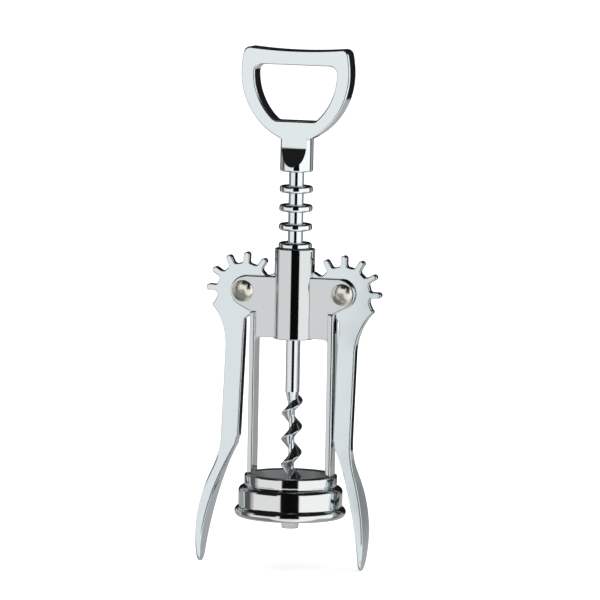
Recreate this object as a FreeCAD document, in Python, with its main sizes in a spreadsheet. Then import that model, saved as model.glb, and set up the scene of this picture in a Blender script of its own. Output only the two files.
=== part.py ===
import FreeCAD, Part
import Sketcher
import math
import os

# Lever (wing) corkscrew, millimetres.
# Origin: centre of the bell's mouth, in the plane of its bottom rim. +Z points up along the
# worm's axis to the handle, +X to the right lever, and -Y to the front.
# Rest pose: both levers down with the slight lean the play in their teeth gives them, the rack
# at the top of its travel, the handle turned a little on it.

# alias: (value, what it measures)
SIZES = {
    # opener handle
    "handle_width": (38.5, "widest point of the D handle"),
    "handle_plate": (7.0, "thickness of the handle's plate"),
    "handle_top": (159.7, "height of the handle's top corners"),
    "handle_dip": (0.8, "how far the top edge sinks in the middle"),
    "handle_widest": (151.0, "height at which the D is widest"),
    "handle_edge": (0.55, "rounding of the handle's edges"),
    "handle_side": (24.3, "radius of the D's lower sides, outside"),
    "handle_foot": (1.74, "height of the bend from the neck into the D"),
    "corner_in": (3.27, "how far the bend of a top corner reaches in"),
    "corner_down": (1.9, "how far that bend reaches down"),
    "corner_round": (2.4, "radius of a top corner"),
    "window_half": (14.5, "half width of the opener's window"),
    "window_top": (153.8, "top of the opener's window"),
    "window_floor": (135.0, "flat floor of the opener's window"),
    "window_floor_half": (6.4, "half width of that flat floor"),
    "window_side": (21.0, "radius of the window's lower sides"),
    "window_corner": (2.65, "radius of the window's top corners"),
    "neck_radius": (5.6, "round neck under the D"),
    "neck_bottom": (117.7, "underside of the neck"),
    "neck_top": (130.2, "where the neck runs into the D"),
    "scoop_top": (126.3, "where the neck's flats begin to run out"),
    "scoop_bottom": (119.4, "where the flats reach the neck's round side"),
    "scoop_round": (16.0, "radius of the hollow in which the flats run out"),
    "neck_edge": (0.7, "rounding of the neck's lower edge"),
    "handle_turned": (5.0, "how far the handle is turned at rest, clockwise seen from above"),
    "rod_end_room": (0.5, "room above the rod's end"),
    # ringed rack
    "ring_pitch": (6.42, "spacing of the rack's rings"),
    "ring_count": (7, "number of rings"),
    "ring_first": (73.23, "height of the lowest ring's middle"),
    "ring_radius": (5.65, "outer radius of a ring"),
    "ring_height": (2.5, "height of a ring"),
    "ring_edge": (0.95, "rounding of a ring's edges"),
    "sleeve_radius": (2.55, "outer radius of the rack's tube"),
    "sleeve_bottom": (69.0, "lower end of the rack's tube"),
    "rack_play": (0.1, "end play of the rack's tube on the rod"),
    "rod_play": (0.07, "gap between the rod and the rack's tube"),
    # worm
    "rod_radius": (1.65, "rod that runs up through the rack"),
    "rod_top": (127.5, "upper end of that rod, inside the neck"),
    "shank_radius": (2.4, "plain shank below the rack"),
    "shank_bottom": (42.8, "where the shank begins to taper"),
    "core_top": (36.8, "where the taper reaches the core"),
    "core_radius": (1.0, "core inside the worm's thread"),
    "worm_radius": (3.62, "outer radius of the worm"),
    "worm_pitch": (8.83, "rise of the worm in one turn"),
    "worm_start": (-0.375, "height at which the thread starts, on the left"),
    "worm_length": (46.0, "height of the thread"),
    "runout_top": (42.9, "where the thread's run-out reaches the shank"),
    "runout_low": (40.3, "where that run-out begins on the crest"),
    "thread_half": (3.3, "half height of the thread's root"),
    "thread_crest": (0.42, "half height of the thread's crest"),
    "point_radius": (0.2, "radius of the worm's point"),
    "point_slope": (0.6, "growth of the point's radius per mm of height"),
    "point_height": (6.2, "height of the pointed end"),
    "crest_flat": (0.25, "depth of the crest's rounding"),
    # tip guard
    "guard_radius": (2.95, "outer radius of the guard"),
    "guard_bottom": (-4.0, "lower face of the guard"),
    "guard_top": (3.4, "upper face of the guard"),
    "guard_room": (0.12, "gap between the guard and the worm's point"),
    "guard_edge": (0.3, "rounding of the guard's lower edge"),
    # frame
    "barrel_radius": (6.85, "outer radius of the barrel"),
    "bore_radius": (5.95, "bore of the barrel"),
    "barrel_bottom": (60.8, "lower end of the barrel"),
    "barrel_top": (91.6, "upper end of the barrel"),
    "barrel_edge": (0.3, "rounding of the barrel's ends"),
    "cheek_half": (3.4, "half of the distance over both cheeks"),
    "gap_half": (1.7, "half of the gap between the cheeks"),
    "cheek_bottom": (61.2, "lower edge of the cheeks"),
    "gap_floor": (63.2, "floor of the gap between the cheeks"),
    "slot_top": (86.6, "top of the slots in the barrel's sides"),
    "pivot_out": (17.2, "distance of a lever's pivot from the axis"),
    "pivot_height": (76.7, "height of the pivots"),
    "ear_radius": (5.3, "radius of an ear"),
    "ear_shift": (1.0, "how far an ear's centre lies inside its pivot"),
    "ear_slope": (28, "slope of an ear's underside, degrees"),
    "hip_bend": (0.8, "radius between that slope and the leg"),
    "leg_outer": (14.5, "outer face of a leg"),
    "leg_thick": (1.95, "thickness of a leg"),
    "leg_half": (4.1, "half depth of a leg"),
    "leg_top": (68.9, "where a leg's rib ends under the ear"),
    "corner_radius": (1.6, "inner corners of the frame's window"),
    "rib_round": (1.0, "rounding of a rib's upper end"),
    "cheek_edge": (0.45, "rounding of the cheeks' and legs' edges"),
    "rivet_hole": (2.03, "radius of the rivet holes"),
    "tenon_depth": (2.0, "length of a leg's tenon in the bell"),
    "tenon_half": (1.5, "half width of a tenon"),
    "tenon_inset": (0.6, "shoulder outside a leg's tenon"),
    "tenon_inner": (0.45, "shoulder inside a leg's tenon"),
    "tenon_room": (0.03, "gap round a tenon in its mortise"),
    "tenon_end_room": (0.1, "gap under a tenon"),
    # bell
    "ring_outer": (15.8, "outer radius of the bell's top ring"),
    "ring_inner": (12.75, "opening in the bell's top"),
    "bell_top": (14.5, "top of the bell"),
    "neck_ring": (10.7, "lower edge of the top ring"),
    "bell_radius": (17.75, "outer radius of the bell's wall"),
    "shoulder": (1.9, "rounding of the bell's shoulder"),
    "bead_radius": (19.0, "outer radius of the bead round the rim"),
    "bead_height": (3.7, "height of the bead"),
    "mouth_radius": (16.0, "radius of the bell's mouth"),
    "ring_round": (0.5, "rounding of the top ring's edges"),
    "mouth_round": (0.8, "rounding inside the bell, under the seat"),
    "seat_height": (10.2, "height of the seat for the bottle's lip"),
    # rivets
    "rivet_radius": (2.0, "radius of a rivet's shaft"),
    "rivet_head": (3.7, "radius of a rivet's head"),
    "rivet_dome": (2.0, "height of a rivet's domed head"),
    # levers, measured from the pivot; "out" is away from the axis and "down" is below the pivot
    "lever_bore": (2.05, "radius of the lever's bore"),
    "tooth_tip": (13.1, "tip radius of the teeth"),
    "tooth_root": (9.4, "root radius of the teeth"),
    "tooth_half": (1.05, "half width of a tooth"),
    "tooth_flare": (1.15, "radius where a tooth runs into the head"),
    "tooth_phase": (-1.2, "angle of the first tooth above the line to the axis, degrees"),
    "tooth_sweep": (180, "angle from the first tooth to the last, degrees"),
    "tooth_count": (7, "number of teeth"),
    "head_half": (1.4, "half thickness of the toothed head"),
    "head_end": (7.4, "where the head begins to thicken into the arm"),
    "arm_start": (19.0, "where the arm has its full thickness"),
    "arm_half": (2.35, "half thickness of the arm"),
    "arm_in": (1.0, "inner edge of the arm, inside the pivot"),
    "arm_out": (5.15, "outer edge of the arm"),
    "arm_edge": (0.25, "rounding of the arm's edges"),
    "heel_out": (10.7, "corner of the heel above the arm"),
    "heel_down": (5.6, "height of that corner"),
    "bend_down": (50.0, "where the arm bends outward"),
    "paddle_half": (6.1, "half width of the finger paddle"),
    "paddle_out": (11.3, "outermost point of the paddle"),
    "paddle_down": (84.0, "height of that point"),
    "tip_down": (93.9, "tip of the lever"),
    "left_lean": (2.3, "how far the left lever hangs outward at rest, degrees"),
    "right_lean": (1.4, "how far the right lever hangs inward at rest, degrees"),
}

document = FreeCAD.newDocument("lever_corkscrew")


class Size:
    """A length or an angle that knows its number and its expression in the spreadsheet."""

    def __init__(self, value, text=None):
        self.value = float(value)
        self.text = text or repr(float(value))

    def _join(self, other, sign, value):
        return Size(value, f"({self.text} {sign} {as_size(other).text})")

    def __add__(self, other):
        return self._join(other, "+", self.value + as_size(other).value)

    def __sub__(self, other):
        return self._join(other, "-", self.value - as_size(other).value)

    def __mul__(self, other):
        return self._join(other, "*", self.value * as_size(other).value)

    def __truediv__(self, other):
        return self._join(other, "/", self.value / as_size(other).value)

    def __neg__(self):
        return self * -1


def as_size(number):
    return number if isinstance(number, Size) else Size(number)


def sine(angle):
    return Size(math.sin(math.radians(angle.value)), f"sin({angle.text})")


def cosine(angle):
    return Size(math.cos(math.radians(angle.value)), f"cos({angle.text})")


def fill_sheet():
    """Write the driving dimensions into the spreadsheet, one row each."""
    sheet = document.addObject("Spreadsheet::Sheet", "Sizes")
    for row, (alias, (value, note)) in enumerate(SIZES.items(), start=1):
        sheet.set(f"A{row}", alias)
        sheet.set(f"B{row}", str(value))
        sheet.setAlias(f"B{row}", alias)
        sheet.set(f"C{row}", note)
    document.recompute()


def of(alias):
    """The named driving dimension."""
    return Size(SIZES[alias][0], f"Sizes.{alias}")


def bind(feature, field, size):
    """Set a feature's field to a size and tie it to the spreadsheet."""
    setattr(feature, field, size.value)
    feature.setExpression(field, size.text)


# ---------------------------------------------------------------------------------------------
# sketches


def place(body, axis, angle, x=0, z=0):
    """Turn a body about an axis through its own origin, then move it to (x, 0, z)."""
    x, z = as_size(x), as_size(z)
    turned = FreeCAD.Rotation(FreeCAD.Vector(*axis), angle.value)
    body.Placement = FreeCAD.Placement(FreeCAD.Vector(x.value, 0, z.value), turned)
    body.setExpression(".Placement.Base.x", x.text)
    body.setExpression(".Placement.Base.z", z.text)
    body.setExpression(".Placement.Rotation.Angle", angle.text)
    document.recompute()


def origin_plane(body, role):
    return next(item for item in body.Origin.OriginFeatures if item.Role == role)


def new_body(label):
    body = document.addObject("PartDesign::Body", label)
    body.Label = label
    return body


def new_sketch(body, name, role, shift_x=None, shift_y=None, lift=None):
    """A sketch on one of the body's own origin planes, moved within and off that plane."""
    sketch = body.newObject("Sketcher::SketchObject", name)
    sketch.AttachmentSupport = [(origin_plane(body, role), "")]
    sketch.MapMode = "FlatFace"
    for axis, size in (("x", shift_x), ("y", shift_y), ("z", lift)):
        if size is not None:
            sketch.setExpression(f".AttachmentOffset.Base.{axis}", size.text)
    document.recompute()
    return sketch


def hold_point(sketch, curve, end, x, y):
    """Fix a point of a curve at (x, y) from the sketch's origin."""
    for kind, axis, size in (("DistanceX", -2, as_size(x)), ("DistanceY", -1, as_size(y))):
        if size.value == 0:
            sketch.addConstraint(Sketcher.Constraint("PointOnObject", curve, end, axis))
            continue
        index = sketch.addConstraint(Sketcher.Constraint(kind, -1, 1, curve, end, size.value))
        sketch.setExpression(f"Constraints[{index}]", size.text)


def arc_between(start, end, centre, clockwise):
    """The circular arc from start to end round a centre."""
    radius = (start - centre).Length
    angles = [math.atan2(point.y - centre.y, point.x - centre.x) for point in (start, end)]
    if clockwise:
        angles.reverse()
    circle = Part.Circle(centre, FreeCAD.Vector(0, 0, 1), radius)
    return Part.ArcOfCircle(circle, angles[0], angles[1])


def radius_arc(start, end, radius, clockwise):
    """The shorter arc of a given radius from start to end."""
    chord = end - start
    height = math.sqrt(max(radius ** 2 - (chord.Length / 2) ** 2, 0))
    normal = FreeCAD.Vector(-chord.y, chord.x, 0).normalize()
    centre = start + chord * 0.5 + normal * (-height if clockwise else height)
    return arc_between(start, end, centre, clockwise)


def tangent_arc(start, heading, end):
    """The arc that leaves start along heading and reaches end."""
    chord = end - start
    left = FreeCAD.Vector(-heading.y, heading.x, 0)
    signed = chord.Length ** 2 / (2 * chord.dot(left))
    clockwise = signed < 0
    centre = start + left * signed
    return arc_between(start, end, centre, clockwise), clockwise, centre


def trace(sketch, start, steps, mirror=False):
    """Draw a closed outline of straight and round stretches, every corner held by its size.

    A step is (x, y) for a straight stretch to that corner, (x, y, radius) for an arc (a negative
    radius turns clockwise), or (x, y, "smooth") for an arc tangent to the stretch before it.
    With mirror, the steps run from x = 0 to x = 0, and the other half is their mirror image.
    """
    corners = [start] + [step[:2] for step in steps]
    points = [FreeCAD.Vector(as_size(x).value, as_size(y).value, 0) for x, y in corners]
    drawn = []
    heading = None
    for number, step in enumerate(steps):
        begin, finish = points[number], points[number + 1]
        rule = step[2] if len(step) > 2 else None
        clockwise = False
        centre = None
        if rule is None:
            curve = sketch.addGeometry(Part.LineSegment(begin, finish), False)
            heading = (finish - begin).normalize()
        else:
            if rule == "smooth":
                arc, clockwise, centre = tangent_arc(begin, heading, finish)
            else:
                clockwise = rule.value < 0
                arc = radius_arc(begin, finish, abs(rule.value), clockwise)
                centre = arc.Center
            curve = sketch.addGeometry(arc, False)
            spoke = (finish - centre).normalize() * (-1 if clockwise else 1)
            heading = FreeCAD.Vector(-spoke.y, spoke.x, 0)
        near, far = (2, 1) if clockwise else (1, 2)
        if drawn:
            link = "Tangent" if rule == "smooth" else "Coincident"
            sketch.addConstraint(Sketcher.Constraint(link, *drawn[-1][:2], curve, near))
        if isinstance(rule, Size):
            size = -rule if clockwise else rule
            index = sketch.addConstraint(Sketcher.Constraint("Radius", curve, size.value))
            sketch.setExpression(f"Constraints[{index}]", size.text)
        drawn.append((curve, far, near, centre, clockwise))
        if number < len(steps) - 1 or mirror:
            hold_point(sketch, curve, far, *corners[number + 1])
    first, last = drawn[0], drawn[-1]
    if not mirror:
        sketch.addConstraint(Sketcher.Constraint("Coincident", last[0], last[1], first[0], first[2]))
        hold_point(sketch, first[0], first[2], *start)
        return
    hold_point(sketch, first[0], first[2], *start)
    previous = (first[0], first[2])
    for number, (curve, _, _, centre, clockwise) in enumerate(drawn):
        begin, finish = [FreeCAD.Vector(-point.x, point.y, 0)
                         for point in points[number:number + 2]]
        if centre is None:
            twin = sketch.addGeometry(Part.LineSegment(begin, finish), False)
        else:
            other = FreeCAD.Vector(-centre.x, centre.y, 0)
            twin = sketch.addGeometry(arc_between(begin, finish, other, not clockwise), False)
            sketch.addConstraint(Sketcher.Constraint("Equal", curve, twin))
        near, far = (1, 2) if centre is None or clockwise else (2, 1)
        sketch.addConstraint(Sketcher.Constraint("Coincident", *previous, twin, near))
        if number < len(drawn) - 1:
            x, y = corners[number + 1]
            hold_point(sketch, twin, far, as_size(x) * -1, y)
        previous = (twin, far)
    sketch.addConstraint(Sketcher.Constraint("Coincident", *previous, last[0], last[1]))


def ring(sketch, radius, x=0, y=0):
    """Draw a circle of a bound radius."""
    centre = FreeCAD.Vector(as_size(x).value, as_size(y).value, 0)
    circle = Part.Circle(centre, FreeCAD.Vector(0, 0, 1), radius.value)
    curve = sketch.addGeometry(circle, False)
    index = sketch.addConstraint(Sketcher.Constraint("Radius", curve, radius.value))
    sketch.setExpression(f"Constraints[{index}]", radius.text)
    hold_point(sketch, curve, 3, x, y)


def rectangle(sketch, left, right, bottom, top):
    trace(sketch, (left, bottom), [(right, bottom), (right, top), (left, top), (left, bottom)])


# ---------------------------------------------------------------------------------------------
# features


def pad(body, sketch, name, length, symmetric=False, backwards=False):
    feature = body.newObject("PartDesign::Pad", name)
    feature.Profile = sketch
    bind(feature, "Length", length)
    if symmetric:
        feature.SideType = "Symmetric"
    feature.Reversed = backwards
    document.recompute()
    return feature


def pocket(body, sketch, name, length, symmetric=True, backwards=False):
    """Cut the sketch's outline out of the body; a cut that removes nothing is an error."""
    before = body.Shape.Volume
    feature = body.newObject("PartDesign::Pocket", name)
    feature.Profile = sketch
    bind(feature, "Length", length)
    if symmetric:
        feature.SideType = "Symmetric"
    feature.Reversed = backwards
    document.recompute()
    if not feature.Shape.Volume < before - 1e-3:
        raise ValueError(f"{body.Label}: {name} cuts nothing")
    return feature


def turn(body, sketch, name, kind="Revolution"):
    """Revolve the sketch about its own vertical axis, to add (Revolution) or cut (Groove)."""
    feature = body.newObject(f"PartDesign::{kind}", name)
    feature.Profile = sketch
    feature.ReferenceAxis = (sketch, ["V_Axis"])
    feature.Angle = 360
    document.recompute()
    return feature


def round_edges(body, name, radius, wanted):
    """Fillet those edges of the body's last feature that the test picks."""
    base = body.Tip
    names = [f"Edge{number}" for number, edge in enumerate(base.Shape.Edges, start=1)
             if wanted(edge)]
    feature = body.newObject("PartDesign::Fillet", name)
    feature.Base = (base, names)
    feature.Refine = False
    bind(feature, "Radius", radius)
    document.recompute()
    return feature


def flat_on(edge, axis, level, tolerance=0.01):
    """True if the whole edge lies in the plane axis = level."""
    box = edge.BoundBox
    low, high = getattr(box, axis + "Min"), getattr(box, axis + "Max")
    return abs(low - level) < tolerance and abs(high - level) < tolerance


# ---------------------------------------------------------------------------------------------
# the pieces


def make_handle():
    """D-shaped handle that is also a crown-cap opener, with a round neck below."""
    body = new_body("opener_handle")
    half = of("handle_width") / 2
    top = of("handle_top")
    widest = of("handle_widest")
    root = of("neck_radius") - 1.5
    joint = of("neck_top") - 1.3
    foot = of("handle_foot")
    outline = new_sketch(body, "d_outline", "XZ_Plane")
    trace(outline, (0, of("scoop_bottom")), [
        (root, of("scoop_bottom")),
        (root, joint - foot),
        (root + foot * 0.586, joint, "smooth"),
        (half, widest, of("handle_side")),
        (half - 0.7, top - of("corner_down"), "smooth"),
        (half - of("corner_in"), top - 0.04, of("corner_round")),
        (0, top - of("handle_dip"), "smooth"),
    ], mirror=True)
    pad(body, outline, "d_plate", of("handle_plate"), symmetric=True)

    window = new_sketch(body, "window_outline", "XZ_Plane")
    wide = of("window_half")
    high = of("window_top")
    floor = of("window_floor")
    flat = of("window_floor_half")
    corner = of("window_corner")
    trace(window, (0, floor), [
        (flat, floor),
        (flat + 1.35, floor + 0.53, "smooth"),
        (wide, widest, of("window_side")),
        (wide, high - corner),
        (wide - corner, high, corner),
        (0, high),
    ], mirror=True)
    pocket(body, window, "opener_window", of("handle_plate") * 2)
    face = of("handle_plate").value / 2
    round_edges(body, "plate_edges", of("handle_edge"),
                lambda edge: (flat_on(edge, "Y", face) or flat_on(edge, "Y", -face))
                and edge.BoundBox.ZMax > of("neck_top").value - 1.0)

    neck = new_sketch(body, "neck_half", "XZ_Plane")
    radius = of("neck_radius")
    end = of("neck_bottom")
    edge = of("neck_edge")
    trace(neck, (0, end), [
        (radius - edge, end),
        (radius, end + edge, edge),
        (radius, of("neck_top")),
        (0, of("neck_top")),
        (0, end),
    ])
    turn(body, neck, "neck")

    scoop = new_sketch(body, "scoop_outline", "YZ_Plane")
    inner = of("handle_plate") / 2
    outer = radius + 1
    above = of("neck_top") + 2
    for side in (1, -1):
        trace(scoop, (inner * side, above), [
            (inner * side, of("scoop_top")),
            (radius * side, of("scoop_bottom"), of("scoop_round") * side),
            (outer * side, of("scoop_bottom")),
            (outer * side, above),
            (inner * side, above),
        ])
    pocket(body, scoop, "scoops", radius * 4)

    socket = new_sketch(body, "rod_socket", "XY_Plane", lift=end)
    ring(socket, of("rod_radius"))
    pocket(body, socket, "rod_hole", of("rod_top") - end + of("rod_end_room"),
           symmetric=False, backwards=True)
    place(body, (0, 0, -1), of("handle_turned"))
    return body


def make_rack():
    """Tube with round rings: a rack that the levers' teeth can drive whichever way it faces."""
    body = new_body("ring_rack")
    tube = new_sketch(body, "tube_half", "XZ_Plane")
    bore = of("rod_radius") + of("rod_play")
    top = of("neck_bottom") - of("rack_play")
    rectangle(tube, bore, of("sleeve_radius"), of("sleeve_bottom"), top)
    turn(body, tube, "tube")
    first = new_sketch(body, "ring_half", "XZ_Plane")
    low = of("ring_first") - of("ring_height") / 2
    high = of("ring_first") + of("ring_height") / 2
    inner = of("sleeve_radius") - 0.3
    outer = of("ring_radius")
    edge = of("ring_edge")
    trace(first, (inner, low), [
        (outer - edge, low),
        (outer, low + edge, edge),
        (outer, high - edge),
        (outer - edge, high, edge),
        (inner, high),
        (inner, low),
    ])
    one = turn(body, first, "lowest_ring")
    rings = body.newObject("PartDesign::LinearPattern", "rings")
    rings.Originals = [one]
    rings.Direction = (first, ["V_Axis"])
    bind(rings, "Length", of("ring_pitch") * (of("ring_count") - 1))
    rings.Occurrences = int(of("ring_count").value)
    rings.setExpression("Occurrences", of("ring_count").text)
    body.Tip = rings
    document.recompute()
    return body


def make_worm():
    """Rod, shank and worm in one piece of steel, ground to a point."""
    body = new_body("worm")
    start = of("worm_start")
    thread = new_sketch(body, "thread_section", "XZ_Plane")
    root = of("core_radius") * -0.5
    crest = of("crest_flat") - of("worm_radius")
    half = of("thread_crest")
    trace(thread, (root, start - of("thread_half")), [
        (root, start + of("thread_half")),
        (crest, start + half),
        (crest, start - half, half * 1.2),
        (root, start - of("thread_half")),
    ])
    helix = body.newObject("PartDesign::AdditiveHelix", "thread")
    helix.Profile = thread
    helix.ReferenceAxis = (thread, ["V_Axis"])
    helix.Mode = "pitch-height-angle"
    bind(helix, "Pitch", of("worm_pitch"))
    bind(helix, "Height", of("worm_length"))
    helix.Angle = 0
    helix.LeftHanded = False
    document.recompute()

    runout = new_sketch(body, "runout_half", "XZ_Plane")
    shank = of("shank_radius")
    high = of("runout_top")
    slope = (high - of("runout_low")) / (of("worm_radius") - shank)
    beyond = of("worm_radius") + 1
    above = of("core_top") + of("worm_pitch") * 2
    trace(runout, (shank - 1, high + slope), [
        (beyond, high - slope * (beyond - shank)),
        (beyond, above),
        (shank - 1, above),
        (shank - 1, high + slope),
    ])
    turn(body, runout, "thread_runout", kind="Groove")

    profile = new_sketch(body, "stem_half", "XZ_Plane")
    collar = of("sleeve_bottom") - of("rack_play")
    trace(profile, (0, 0), [
        (of("core_radius"), 0),
        (of("core_radius"), of("core_top")),
        (of("shank_radius"), of("shank_bottom")),
        (of("shank_radius"), collar),
        (of("rod_radius"), collar),
        (of("rod_radius"), of("rod_top")),
        (0, of("rod_top")),
        (0, 0),
    ])
    turn(body, profile, "stem")

    grind = new_sketch(body, "point_half", "XZ_Plane")
    far = of("worm_radius") + 1.5
    below = of("thread_half") * -2
    wide = of("point_radius") + of("point_slope") * of("point_height")
    trace(grind, (0, below), [
        (far, below),
        (far, of("point_height")),
        (wide, of("point_height")),
        (of("point_radius"), 0),
        (0, 0),
        (0, below),
    ])
    turn(body, grind, "point", kind="Groove")
    return body


def make_guard():
    """Translucent cap pushed over the worm's point."""
    body = new_body("tip_guard")
    half = new_sketch(body, "guard_half", "XZ_Plane")
    room = of("guard_room")
    outer = of("guard_radius")
    top = of("guard_top")
    bottom = of("guard_bottom")
    edge = of("guard_edge")
    trace(half, (0, bottom), [
        (outer - edge, bottom),
        (outer, bottom + edge, edge),
        (outer, top),
        (of("point_radius") + of("point_slope") * top + room, top),
        (of("point_radius") + room, -room),
        (0, -room),
        (0, bottom),
    ])
    turn(body, half, "cap")
    return body


def make_frame():
    """Casting with the barrel, two pairs of cheeks for the levers, and two legs."""
    body = new_body("frame_casting")
    reach = of("pivot_out") - of("ear_shift")
    high = of("pivot_height") + of("ear_radius")
    slope = of("ear_slope")
    run_out = reach + of("ear_radius") * sine(slope)
    run_down = of("pivot_height") - of("ear_radius") * cosine(slope)
    hip_bend = of("hip_bend")
    hip = of("leg_outer") + hip_bend - hip_bend * sine(slope)
    hip_height = run_down - (run_out - hip) * (sine(slope) / cosine(slope))
    low = of("cheek_bottom")
    cheeks = new_sketch(body, "cheek_outline", "XZ_Plane")
    trace(cheeks, (0, low), [
        (of("leg_outer"), low),
        (of("leg_outer"), hip_height - hip_bend * cosine(slope)),
        (hip, hip_height, "smooth"),
        (run_out, run_down),
        (reach + of("ear_radius"), of("pivot_height"), of("ear_radius")),
        (reach, high, of("ear_radius")),
        (0, high),
    ], mirror=True)
    pad(body, cheeks, "cheeks", of("cheek_half") * 2, symmetric=True)
    face = of("cheek_half").value
    round_edges(body, "cheek_edges", of("cheek_edge"),
                lambda edge: flat_on(edge, "Y", face) or flat_on(edge, "Y", -face))

    legs = new_sketch(body, "leg_outlines", "XZ_Plane")
    inner = of("leg_outer") - of("leg_thick")
    outer = of("leg_outer")
    end = of("rib_round")
    for side in (1, -1):
        trace(legs, (outer * side, of("bell_top")), [
            (outer * side, of("leg_top")),
            ((outer - end) * side, of("leg_top") + end, end * side),
            (inner * side, of("leg_top") + end),
            (inner * side, of("bell_top")),
            (outer * side, of("bell_top")),
        ])
    pad(body, legs, "legs", of("leg_half") * 2, symmetric=True)
    leg_face = of("leg_half").value
    round_edges(body, "leg_edges", of("cheek_edge"),
                lambda edge: flat_on(edge, "Y", leg_face) or flat_on(edge, "Y", -leg_face))
    webs = new_sketch(body, "corner_webs", "XZ_Plane")
    corner = of("corner_radius")
    buried = inner + 0.3
    for side in (1, -1):
        trace(webs, (buried * side, low - corner), [
            (buried * side, low + 0.5),
            ((inner - corner) * side, low + 0.5),
            ((inner - corner) * side, low),
            (inner * side, low - corner, corner * -side),
            (buried * side, low - corner),
        ])
    pad(body, webs, "corners", of("cheek_half") * 2 - 0.4, symmetric=True)

    gap = new_sketch(body, "gap_outline", "XZ_Plane")
    wide = of("pivot_out") * 1.5
    rectangle(gap, -wide, wide, of("gap_floor"), high + 5)
    pocket(body, gap, "gap", of("gap_half") * 2)

    barrel = new_sketch(body, "barrel_half", "XZ_Plane")
    radius = of("barrel_radius")
    edge = of("barrel_edge")
    top = of("barrel_top")
    bore = of("bore_radius")
    bottom = of("barrel_bottom")
    trace(barrel, (bore - edge, bottom), [
        (radius - edge, bottom),
        (radius, bottom + edge, edge),
        (radius, top - edge),
        (radius - edge, top, edge),
        (bore - edge, top),
        (bore - edge, bottom),
    ])
    turn(body, barrel, "barrel")
    hole = new_sketch(body, "bore_circle", "XY_Plane", lift=bottom - 1)
    ring(hole, bore)
    pocket(body, hole, "bore", top - bottom + 2, symmetric=False, backwards=True)
    slots = new_sketch(body, "tooth_slots", "XZ_Plane")
    rectangle(slots, -radius - 1, radius + 1, of("gap_floor"), of("slot_top"))
    pocket(body, slots, "barrel_slots", of("gap_half") * 2)

    holes = new_sketch(body, "rivet_holes", "XZ_Plane")
    for side in (1, -1):
        ring(holes, of("rivet_hole"), of("pivot_out") * side, of("pivot_height"))
    pocket(body, holes, "pivot_holes", of("cheek_half") * 3)

    tenons = new_sketch(body, "tenon_outlines", "XY_Plane", lift=of("bell_top"))
    for side in (1, -1):
        rectangle(tenons, (inner + of("tenon_inner")) * side, (outer - of("tenon_inset")) * side,
                  -of("tenon_half"), of("tenon_half"))
    pad(body, tenons, "tenons", of("tenon_depth"), backwards=True)
    return body


def make_bell():
    """Bell that sits over the bottle's neck, with a bead round its rim."""
    body = new_body("bell_collar")
    half = new_sketch(body, "bell_half", "XZ_Plane")
    ring_out = of("ring_outer")
    wall = of("bell_radius")
    bead = of("bead_height")
    bead_out = of("bead_radius")
    neck = of("neck_ring")
    shoulder = of("shoulder")
    mouth = of("mouth_radius")
    seat = of("seat_height")
    top = of("bell_top")
    edge = of("ring_round")
    ring_in = of("ring_inner")
    deep = of("mouth_round")
    trace(half, (mouth + edge, 0), [
        (bead_out - bead / 2, 0),
        (bead_out, bead / 2, bead / 2),
        (bead_out - bead / 4, bead - 0.25, bead * 0.52),
        (wall, bead + 0.3, Size(-0.6)),
        (wall, neck - shoulder),
        (wall - shoulder + 0.25, neck - 0.15, shoulder * 0.93),
        (ring_out - 0.1, neck + 0.3, -edge),
        (ring_out, neck + 0.8),
        (ring_out, top - edge),
        (ring_out - edge, top, edge),
        (ring_in + edge, top),
        (ring_in, top - edge, edge),
        (ring_in, seat),
        (mouth - deep, seat),
        (mouth, seat - deep, -deep),
        (mouth, edge),
        (mouth + edge, 0, edge),
    ])
    turn(body, half, "bell")
    mortises = new_sketch(body, "mortise_outlines", "XY_Plane", lift=top)
    room = of("tenon_room")
    inner = of("leg_outer") - of("leg_thick") + of("tenon_inner") - room
    outer = of("leg_outer") - of("tenon_inset") + room
    for side in (1, -1):
        rectangle(mortises, inner * side, outer * side,
                  -of("tenon_half") - room, of("tenon_half") + room)
    pocket(body, mortises, "mortises", of("tenon_depth") + of("tenon_end_room"), symmetric=False)
    return body


def make_rivet(label, side):
    """Rivet with a domed head on each cheek; its shaft is the lever's pivot."""
    body = new_body(label)
    half = new_sketch(body, "rivet_half", "XY_Plane",
                      shift_x=of("pivot_out") * side, lift=of("pivot_height"))
    face = of("cheek_half")
    head = of("rivet_head")
    dome = of("rivet_dome")
    shaft = of("rivet_radius")
    cap = (head * head + dome * dome) / (dome * 2)
    trace(half, (0, -face - dome), [
        (head, -face, cap),
        (shaft, -face),
        (shaft, face),
        (head, face),
        (0, face + dome, cap),
        (0, -face - dome),
    ])
    turn(body, half, "rivet")
    return body


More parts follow.
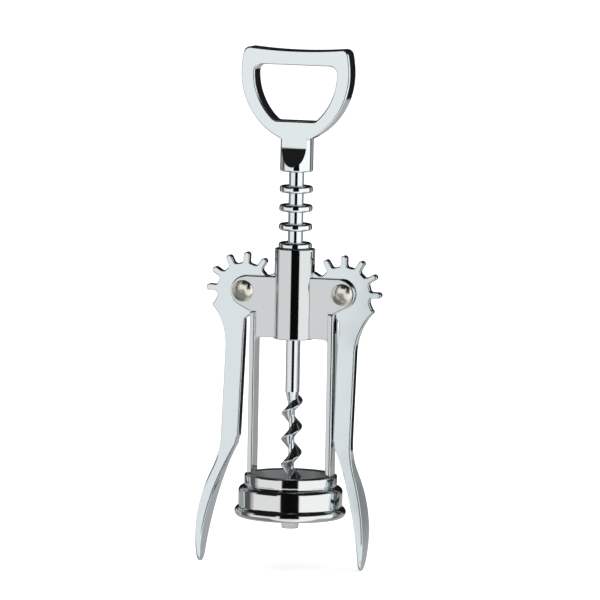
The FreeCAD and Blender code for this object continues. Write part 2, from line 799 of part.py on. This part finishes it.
def make_lever(label, side, lean):
    """Lever: a toothed head, a straight arm and a finger paddle that bends outward.

    It is drawn round its pivot, hanging straight down, and then placed on its rivet with the
    lean that the play in the teeth gives it.
    """
    body = new_body(label)
    root = of("tooth_root")
    inner = -of("arm_in")
    outer = of("arm_out")
    bend = of("bend_down")
    heel_out = of("heel_out")
    heel = -of("heel_down")
    paddle_out = of("paddle_out")
    tip = -of("tip_down")
    throat = -9.5
    outline = new_sketch(body, "lever_outline", "XZ_Plane")
    steps = [
        (root * -0.927, root * -0.375),
        (0, root, -root),
        (root * 0.966, root * -0.259, -root),
        (heel_out - 0.55, heel + 0.9),
        (heel_out - 0.35, heel - 0.6, Size(-0.9)),
        (outer, -20.5, Size(21.2)),
        (outer - 0.15, -bend),
        (outer + 1.95, -bend - 11.5, Size(32.5)),
        (paddle_out, -of("paddle_down"), Size(-63.6)),
        (paddle_out - 0.75, tip + 0.35, Size(-62)),
        (paddle_out - 1.7, tip + 0.3, Size(-0.5)),
        (paddle_out - 1.9, -of("paddle_down") - 5.0),
        (inner + 0.45, -bend - 2.4, Size(100)),
        (inner - 0.15, -bend + 0.2, Size(6)),
        (inner, throat),
    ]
    mirrored = [(as_size(step[0]) * side, step[1]) + tuple(radius * side for radius in step[2:])
                for step in steps]
    trace(outline, (inner * side, throat), mirrored)
    deep = of("paddle_half") * 2
    pad(body, outline, "lever_blank", deep + 1, symmetric=True)

    paddle = of("paddle_half")
    head = of("head_half")
    arm = of("arm_half")
    thicken = -of("head_end")
    full = -of("arm_start")
    above = of("tooth_tip") + 2
    below = tip - 3
    for half in (1, -1):
        waist = new_sketch(body, f"side_outline_{half}", "YZ_Plane")
        trace(waist, (head * half, above), [
            (head * half, thicken),
            ((head + arm) / 2 * half, (thicken + full) / 2, "smooth"),
            (arm * half, full, "smooth"),
            (arm * half, -bend - 1.0),
            ((arm + 1.4) * half, -bend - 10.5, "smooth"),
            ((paddle - 0.1) * half, -79.0, "smooth"),
            ((paddle - 2.1) * half, -91.0, "smooth"),
            (0, tip, Size(-4.25 * half)),
            (0, below),
            (deep * half, below),
            (deep * half, above),
            (head * half, above),
        ])
        pocket(body, waist, f"side_cut_{half}", of("pivot_out") * 6)

    shoulder = -11.9
    round_edges(body, "arm_edges", of("arm_edge"),
                lambda edge: edge.BoundBox.ZMax < shoulder
                and not flat_on(edge, "Z", edge.BoundBox.ZMin, 0.02))

    tooth = new_sketch(body, "tooth_outline", "XZ_Plane")
    phase = of("tooth_phase")
    width = of("tooth_half")
    flare = of("tooth_flare")
    end = of("tooth_tip") - width

    def tooth_point(along, across):
        """A point of the first tooth, given along and across its centre line."""
        x = cosine(phase) * along * -1 + sine(phase) * across
        z = sine(phase) * along + cosine(phase) * across
        return x * side, z

    foot = root - 0.3
    start = root - 1.0
    trace(tooth, tooth_point(start, -width - flare), [
        tooth_point(start, width + flare),
        tooth_point(foot, width + flare),
        tooth_point(foot + flare, width) + (flare * -side,),
        tooth_point(end, width),
        tooth_point(end + width, 0) + (width * side,),
        tooth_point(end, -width) + (width * side,),
        tooth_point(foot + flare, -width),
        tooth_point(foot, -width - flare) + (flare * -side,),
        tooth_point(start, -width - flare),
    ])
    first = pad(body, tooth, "first_tooth", head * 2, symmetric=True)
    teeth = body.newObject("PartDesign::PolarPattern", "teeth")
    teeth.Originals = [first]
    teeth.Axis = (tooth, ["N_Axis"])
    teeth.Reversed = side > 0
    bind(teeth, "Angle", of("tooth_sweep"))
    teeth.Occurrences = int(of("tooth_count").value)
    teeth.setExpression("Occurrences", of("tooth_count").text)
    body.Tip = teeth
    document.recompute()

    bore = new_sketch(body, "bore_circle", "XZ_Plane")
    ring(bore, of("lever_bore"))
    pocket(body, bore, "pivot_bore", arm * 4)
    place(body, (0, 1, 0), lean, x=of("pivot_out") * side, z=of("pivot_height"))
    return body


def check_and_export(bodies):
    """Stop on any failed feature or bad shape, then write one STEP file for each piece."""
    document.recompute()
    for item in document.Objects:
        if "Invalid" in item.State or "Error" in item.State:
            raise ValueError(f"{item.Label}: {item.State}")
    for body in bodies:
        if body.Shape.isNull() or not body.Shape.isValid() or len(body.Shape.Solids) != 1:
            raise ValueError(f"{body.Label}: bad shape")
    os.makedirs("parts", exist_ok=True)
    for body in bodies:
        body.Shape.exportStep(f"parts/{body.Label}.step")
        print(f"{body.Label}: {body.Shape.Volume / 1000:.2f} cm3")


fill_sheet()
check_and_export([
    make_handle(),
    make_rack(),
    make_worm(),
    make_guard(),
    make_frame(),
    make_bell(),
    make_rivet("left_pivot_rivet", -1),
    make_rivet("right_pivot_rivet", 1),
    make_lever("left_lever", -1, of("left_lean")),
    make_lever("right_lever", 1, of("right_lean")),
])
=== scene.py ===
import math

import bmesh
import bpy
from mathutils import Matrix, Vector


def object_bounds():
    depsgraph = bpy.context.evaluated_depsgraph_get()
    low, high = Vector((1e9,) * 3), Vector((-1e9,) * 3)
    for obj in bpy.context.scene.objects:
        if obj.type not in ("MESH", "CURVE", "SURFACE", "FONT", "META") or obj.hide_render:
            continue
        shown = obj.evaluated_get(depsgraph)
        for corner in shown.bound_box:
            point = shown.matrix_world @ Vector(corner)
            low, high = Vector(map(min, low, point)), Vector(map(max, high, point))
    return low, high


# Lever corkscrew in a white studio. Metres, +Z up, front towards -Y.
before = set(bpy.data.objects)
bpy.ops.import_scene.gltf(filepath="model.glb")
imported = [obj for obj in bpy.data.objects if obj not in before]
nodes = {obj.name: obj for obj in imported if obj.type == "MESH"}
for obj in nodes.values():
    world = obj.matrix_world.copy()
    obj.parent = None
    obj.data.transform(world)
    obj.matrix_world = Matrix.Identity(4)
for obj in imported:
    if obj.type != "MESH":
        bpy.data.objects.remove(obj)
cad_low, cad_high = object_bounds()

# ---------------------------------------------------------------------------------------------
# camera: a long lens, a little to the object's right and a little above it

CAMERA_AZIMUTH = math.radians(12.5)
CAMERA_ELEVATION = math.radians(6.0)
CAMERA_DISTANCE = 2.0
CAMERA_ROLL = math.radians(1.1)
CAMERA_LENS = 354
SENSOR_WIDTH = 36
NEAR_LIMIT = 0.05
FAR_LIMIT = 20
AIM_HEIGHT = 0.0740
AIM_RIGHT = 0.00197


def make_camera():
    azimuth, elevation, roll = CAMERA_AZIMUTH, CAMERA_ELEVATION, CAMERA_ROLL
    back = Vector((
        math.sin(azimuth) * math.cos(elevation),
        -math.cos(azimuth) * math.cos(elevation),
        math.sin(elevation),
    ))
    right = Vector((math.cos(azimuth), math.sin(azimuth), 0))
    up = back.cross(right)
    aim = Vector((0, 0, AIM_HEIGHT)) + right * AIM_RIGHT
    data = bpy.data.cameras.new("camera")
    data.lens = CAMERA_LENS
    data.sensor_width = SENSOR_WIDTH
    data.clip_start = NEAR_LIMIT
    data.clip_end = FAR_LIMIT
    camera = bpy.data.objects.new("camera", data)
    turned_right = right * math.cos(roll) + up * math.sin(roll)
    turned_up = up * math.cos(roll) - right * math.sin(roll)
    axes = Matrix((turned_right, turned_up, back)).transposed()
    place = aim + back * CAMERA_DISTANCE
    camera.matrix_world = Matrix.LocRotScale(place, axes.to_quaternion(), None)
    bpy.context.scene.collection.objects.link(camera)
    bpy.context.scene.camera = camera


# ---------------------------------------------------------------------------------------------
# node trees

OBJECT = 3  # output of a Texture Coordinate node: the place in the object's own axes
NORMAL = 1  # output of a Geometry node: the surface's normal
HEIGHT = 2  # output of a Separate XYZ node: Z
VALUE = 1  # output of a Vector Math node whose answer is a number


class Tree:
    """Short calls for building a node tree: each one adds a node and returns its output."""

    def __init__(self, owner):
        owner.use_nodes = True
        self.nodes = owner.node_tree.nodes
        self.links = owner.node_tree.links
        self.nodes.clear()

    def fill(self, socket, value):
        """Link a socket to an output, or set its constant."""
        if isinstance(value, bpy.types.NodeSocket):
            self.links.new(value, socket)
        else:
            socket.default_value = value

    def add(self, kind, inputs=None, output=0, **settings):
        node = self.nodes.new(kind)
        for name, value in settings.items():
            setattr(node, name, value)
        for name, value in (inputs or {}).items():
            self.fill(node.inputs[name], value)
        return node.outputs[output]

    def math(self, operation, *values):
        return self.add("ShaderNodeMath", dict(enumerate(values)), operation=operation)

    def vector(self, operation, *values, output=0):
        inputs = dict(enumerate(values))
        return self.add("ShaderNodeVectorMath", inputs, output, operation=operation)

    def place(self):
        """Place on the surface, in the object's own axes."""
        return self.add("ShaderNodeTexCoord", output=OBJECT)

    def ramp(self, value, start, end, low=0.0, high=1.0):
        """Smooth step from low to high as value goes from start to end."""
        return self.add("ShaderNodeMapRange", {
            "Value": value, "From Min": start, "From Max": end, "To Min": low, "To Max": high,
        }, interpolation_type="SMOOTHSTEP")

    def noise(self, place, scale, detail=2.0, stretch=None):
        if stretch:
            place = self.vector("MULTIPLY", place, stretch)
        return self.add("ShaderNodeTexNoise", {"Vector": place, "Scale": scale, "Detail": detail})

    def mix(self, factor, a, b):
        """Blend of two colours."""
        node = self.nodes.new("ShaderNodeMix")
        node.data_type = "RGBA"
        sockets = {item.identifier: item for item in node.inputs}
        for name, value in (("Factor_Float", factor), ("A_Color", a), ("B_Color", b)):
            self.fill(sockets[name], value)
        return next(item for item in node.outputs if item.identifier == "Result_Color")

    def bump(self, height, distance, strength=1.0, normal=None):
        inputs = {"Height": height, "Distance": distance, "Strength": strength}
        if normal is not None:
            inputs["Normal"] = normal
        return self.add("ShaderNodeBump", inputs)

    def finish(self, shader, kind="ShaderNodeOutputMaterial"):
        output = self.nodes.new(kind)
        self.links.new(shader, output.inputs["Surface"])


# ---------------------------------------------------------------------------------------------
# studio: a white world and floor, and a tent that only the polished metal sees

TENT_RADIUS = 1.2
TENT_SEGMENTS = 64
TENT_RINGS = 32
TENT_WALL = 0.86
TENT_LIGHT = (1, 1, 1, 1)
# Zones of the tent, each over the ones before it: name, then centre and half width in degrees
# round the camera's direction, middle and half height in degrees of elevation, softness of the
# border in degrees, and brightness.
TENT_ZONES = (
    ("right panel", 62, 45, 0, 90, 9, 1.05),
    ("grey behind", -170, 80, -30, 60, 6, 0.42),
    ("floor", 180, 120, -60, 33, 5, 0.42),
    ("floor on the left", -85, 40, -60, 34, 5, 0.22),
    ("dark left side", -110, 11, 0, 26, 3, 0.10),
    ("dark right side", 113, 9, 0, 26, 3, 0.10),
    ("dark behind", 180, 42, 15.15, 25.85, 0.5, 0.012),
    ("dark ceiling", 0, 180, 58, 32, 6, 0.012),
    ("dark upper left", -58, 28, 50, 41, 1.5, 0.012),
    ("dark front", -1.5, 20.5, 32, 58, 1.5, 0.004),
)
HALF_TURN = 180.0


def within(tree, angle, middle, half_width, soft):
    """1 where an angle is within its zone, falling to 0 over a soft border."""
    away = tree.math("ABSOLUTE", tree.math("SUBTRACT", angle, middle))
    return tree.ramp(away, half_width - soft, half_width + soft, 1, 0)


def tent_brightness(tree):
    """Brightness over the tent: its wall, with the zones laid over one another."""
    direction = tree.vector("NORMALIZE", tree.place())
    across, along, height = tree.add("ShaderNodeSeparateXYZ", {"Vector": direction}).node.outputs
    forward = tree.math("MULTIPLY", along, -1.0)
    azimuth = tree.math("DEGREES", tree.math("ARCTAN2", across, forward))
    elevation = tree.math("DEGREES", tree.math("ARCSINE", height))
    level = TENT_WALL
    for _, centre, half_width, middle, half_height, soft, brightness in TENT_ZONES:
        turn = tree.math("WRAP", tree.math("SUBTRACT", azimuth, centre), HALF_TURN, -HALF_TURN)
        sideways = within(tree, turn, 0.0, half_width, soft)
        upright = within(tree, elevation, middle, half_height, soft)
        mask = tree.math("MULTIPLY", sideways, upright)
        level = tree.add("ShaderNodeMix", {"Factor": mask, "A": level, "B": brightness})
    return level


def make_tent():
    """A sphere round the object that only reflections see."""
    mesh = bpy.data.meshes.new("tent")
    shell = bmesh.new()
    bmesh.ops.create_uvsphere(
        shell, u_segments=TENT_SEGMENTS, v_segments=TENT_RINGS, radius=TENT_RADIUS)
    shell.to_mesh(mesh)
    shell.free()
    tent = bpy.data.objects.new("tent", mesh)
    tent.location = (0, 0, AIM_HEIGHT)
    tent.rotation_euler = (0, 0, CAMERA_AZIMUTH)
    bpy.context.scene.collection.objects.link(tent)
    for ray in ("camera", "diffuse", "transmission", "volume_scatter", "shadow"):
        setattr(tent, "visible_" + ray, False)

    material = bpy.data.materials.new("tent")
    tree = Tree(material)
    tree.finish(tree.add("ShaderNodeEmission", {
        "Color": TENT_LIGHT,
        "Strength": tent_brightness(tree),
    }))
    material.cycles.emission_sampling = "NONE"
    mesh.materials.append(material)


WORLD_LIGHT = (1, 1, 1, 1)
WORLD_STRENGTH = 1.0
FLOOR_HALF = 6.0
FLOOR_GAP = 0.0002
PAPER = (0.9, 0.9, 0.9, 1)
PAPER_ROUGHNESS = 0.9
PAPER_GLOW = (1, 1, 1, 1)
PAPER_GLOW_STRENGTH = 0.35
PAPER_GRAIN_SCALE = 900.0
PAPER_GRAIN_DEPTH = 0.0001
PAPER_GRAIN_STRENGTH = 0.3
LAMP_PLACE = Vector((0.2, -0.4, 1.6))
LAMP_TARGET = Vector((0, 0, 0.08))
LAMP_ENERGY = 12
LAMP_SIZE = 1.6


def make_world():
    scene = bpy.context.scene
    scene.view_settings.view_transform = "Standard"
    world = bpy.data.worlds.new("studio")
    scene.world = world
    tree = Tree(world)
    light = tree.add("ShaderNodeBackground", {"Color": WORLD_LIGHT, "Strength": WORLD_STRENGTH})
    tree.finish(light, "ShaderNodeOutputWorld")


def make_floor():
    mesh = bpy.data.meshes.new("floor")
    corners = [(x * FLOOR_HALF, y * FLOOR_HALF, 0) for x, y in ((-1, -1), (1, -1), (1, 1), (-1, 1))]
    mesh.from_pydata(corners, [], [(0, 1, 2, 3)])
    floor = bpy.data.objects.new("floor", mesh)
    floor.location = (0, 0, cad_low.z - FLOOR_GAP)
    floor.visible_glossy = False
    bpy.context.scene.collection.objects.link(floor)
    paper = bpy.data.materials.new("floor_paper")
    tree = Tree(paper)
    grain = tree.noise(tree.place(), PAPER_GRAIN_SCALE, 3.0)
    tree.finish(tree.add("ShaderNodeBsdfPrincipled", {
        "Base Color": PAPER,
        "Roughness": PAPER_ROUGHNESS,
        "Emission Color": PAPER_GLOW,
        "Emission Strength": PAPER_GLOW_STRENGTH,
        "Normal": tree.bump(grain, PAPER_GRAIN_DEPTH, PAPER_GRAIN_STRENGTH),
    }))
    mesh.materials.append(paper)


def make_lamp():
    light = bpy.data.lights.new("overhead", "AREA")
    light.energy = LAMP_ENERGY
    light.size = LAMP_SIZE
    lamp = bpy.data.objects.new("overhead", light)
    lamp.location = LAMP_PLACE
    lamp.rotation_euler = (LAMP_PLACE - LAMP_TARGET).to_track_quat("Z", "Y").to_euler()
    lamp.visible_glossy = False
    bpy.context.scene.collection.objects.link(lamp)


# ---------------------------------------------------------------------------------------------
# materials


# noise scales are per metre, depths and radii are in metres
SMUDGE_SCALE = 90.0
GRAIN_SCALE = 5000.0
WAVE_SCALE = 260.0
LINE_STRETCH = (9000.0, 9000.0, 350.0)  # polishing lines run up and down
SMUDGE_DULLS = (0.3, 0.7, -0.2, 0.35)  # noise from and to, share of the roughness from and to
GRAIN_DULLS = (0.4, 0.8, 0, 0.3)
SMUDGE_WEARS = (0.35, 0.65, 0.2, 1.0)
WEAR_DULLS = 1.5
EDGE_RADIUS = 0.0004
EDGE_COSINES = (0.995, 0.93)  # between the surface and its rounded normal: flat, worn
BEVEL_SAMPLES = 8
EDGE_SAMPLES = 4
CAST_ROUGHNESS = 0.35  # of the unpolished inside of a bell, on top of its own
CAST_TONE = (0.52, 0.54, 0.54, 1)
CAST_FADE = 0.0002
PADDLE_TOP = 0.027
PADDLE_FLAT = 0.020


def tilted(tree, normal, axis, amount):
    """Lean a surface's normal along one axis, as the draft or crown of a casting does."""
    lean = tree.add("ShaderNodeCombineXYZ", {axis: amount})
    return tree.vector("NORMALIZE", tree.vector("ADD", normal, lean))


def worn_edges(tree, smudge):
    """1 on sharp edges that hands have rubbed, 0 on flat faces."""
    rounded = tree.add("ShaderNodeBevel", {"Radius": EDGE_RADIUS}, samples=EDGE_SAMPLES)
    surface = tree.add("ShaderNodeNewGeometry", output=NORMAL)
    cosine = tree.vector("DOT_PRODUCT", rounded, surface, output=VALUE)
    edge = tree.ramp(cosine, *EDGE_COSINES)
    return tree.math("MULTIPLY", edge, tree.ramp(smudge, *SMUDGE_WEARS))


def plated_normal(tree, place, ripple, scratch, soft, draft, crown, paddle):
    """Rounded edges, the lean of cast faces, ripples of the casting and polishing lines."""
    normal = tree.add("ShaderNodeBevel", {"Radius": soft}, samples=BEVEL_SAMPLES)
    if draft:
        normal = tilted(tree, normal, "Y", -draft)
    if crown:
        normal = tilted(tree, normal, "X", -crown)
        normal = tilted(tree, normal, "Z", -crown)
    if paddle:
        height = tree.add("ShaderNodeSeparateXYZ", {"Vector": place}, HEIGHT)
        normal = tilted(tree, normal, "Y", tree.ramp(height, PADDLE_TOP, PADDLE_FLAT, 0, -paddle))
    waves = tree.noise(place, WAVE_SCALE, 1.0)
    lines = tree.noise(place, 1.0, 3.0, stretch=LINE_STRETCH)
    normal = tree.bump(waves, ripple, 1.0, normal)
    return tree.bump(lines, scratch, 1.0, normal)


def polished(name, color, worn, roughness, ripple, scratch, soft, draft=0, crown=0, paddle=0,
             inside=0):
    """Plated metal: ripples of the casting, polishing lines, smudges and duller edges.

    soft rounds its edges by that radius; draft, crown and paddle lean its faces; inside is the
    radius within which it is left as cast.
    """
    material = bpy.data.materials.new(name)
    tree = Tree(material)
    place = tree.place()
    smudge = tree.noise(place, SMUDGE_SCALE, 4.0)
    grain = tree.noise(place, GRAIN_SCALE, 2.0)
    wear = worn_edges(tree, smudge)
    dull = tree.math("ADD", tree.ramp(smudge, *SMUDGE_DULLS), tree.ramp(grain, *GRAIN_DULLS))
    gloss = tree.math("MULTIPLY_ADD", dull, roughness, roughness)
    gloss = tree.math("MULTIPLY_ADD", wear, roughness * WEAR_DULLS, gloss)
    tone = tree.mix(wear, color, worn)
    if inside:
        radius = tree.vector("LENGTH", tree.vector("MULTIPLY", place, (1, 1, 0)), output=VALUE)
        cast = tree.ramp(radius, inside + CAST_FADE, inside - CAST_FADE)
        gloss = tree.math("MULTIPLY_ADD", cast, CAST_ROUGHNESS, gloss)
        tone = tree.mix(cast, tone, CAST_TONE)
    tree.finish(tree.add("ShaderNodeBsdfPrincipled", {
        "Base Color": tone,
        "Metallic": 1.0,
        "Roughness": gloss,
        "Normal": plated_normal(tree, place, ripple, scratch, soft, draft, crown, paddle),
    }))
    return material


CLOUD_SCALE = 700.0
CLOUD_TONES = ((0.60, 0.61, 0.61, 1), (0.72, 0.73, 0.72, 1))
CLOUD_ROUGHNESS = (0.3, 0.7, 0.28, 0.42)
PLASTIC_SHOW_THROUGH = 0.35
PLASTIC_IOR = 1.46
MOULD_MARK_SCALE = 2500.0
MOULD_MARK_DEPTH = 0.00002
MOULD_MARK_STRENGTH = 0.5


def plastic(name):
    """Milky translucent plastic with faint moulding marks."""
    material = bpy.data.materials.new(name)
    tree = Tree(material)
    place = tree.place()
    cloud = tree.noise(place, CLOUD_SCALE, 3.0)
    marks = tree.noise(place, MOULD_MARK_SCALE, 2.0)
    tree.finish(tree.add("ShaderNodeBsdfPrincipled", {
        "Base Color": tree.mix(cloud, *CLOUD_TONES),
        "Roughness": tree.ramp(cloud, *CLOUD_ROUGHNESS),
        "Transmission Weight": PLASTIC_SHOW_THROUGH,
        "IOR": PLASTIC_IOR,
        "Normal": tree.bump(marks, MOULD_MARK_DEPTH, MOULD_MARK_STRENGTH),
    }))
    return material


CHROME_WORN = (0.72, 0.74, 0.74, 1)
METALS = {
    "chrome": dict(
        color=(0.87, 0.93, 0.94, 1), worn=CHROME_WORN, roughness=0.045,
        ripple=0.0000012, scratch=0.00000006, soft=0.0001),
    "worm_steel": dict(
        color=(0.83, 0.87, 0.89, 1), worn=CHROME_WORN, roughness=0.07,
        ripple=0.0000030, scratch=0.00000010, soft=0.0003),
    "frame_chrome": dict(
        color=(0.70, 0.73, 0.73, 1), worn=(0.62, 0.64, 0.64, 1), roughness=0.05,
        ripple=0.0000015, scratch=0.00000006, soft=0.0004, draft=0.17),
    "bell_chrome": dict(
        color=(0.81, 0.83, 0.825, 1), worn=CHROME_WORN, roughness=0.06,
        ripple=0.0000012, scratch=0.00000006, soft=0.0005, inside=0.0154),
    "rivet_nickel": dict(
        color=(0.92, 0.89, 0.78, 1), worn=(0.66, 0.63, 0.56, 1), roughness=0.22,
        ripple=0.0000010, scratch=0.00000020, soft=0.0004, crown=0.36),
    "lever_chrome": dict(
        color=(0.80, 0.87, 0.895, 1), worn=CHROME_WORN, roughness=0.055,
        ripple=0.0000015, scratch=0.00000008, soft=0.0007, paddle=0.28),
}


def finish_for(slot):
    """The material of a CAD slot: one of the metals, or the guard's plastic."""
    if slot in METALS:
        return polished(slot, **METALS[slot])
    return plastic(slot)


def dress_nodes():
    """Give every CAD node the finish of its material slot."""
    made = {}
    for node in nodes.values():
        slot = node.material_slots[0].name.split(".")[0]
        if slot not in made:
            made[slot] = finish_for(slot)
        node.material_slots[0].material = made[slot]


make_camera()
make_world()
make_floor()
make_lamp()
make_tent()
dress_nodes()
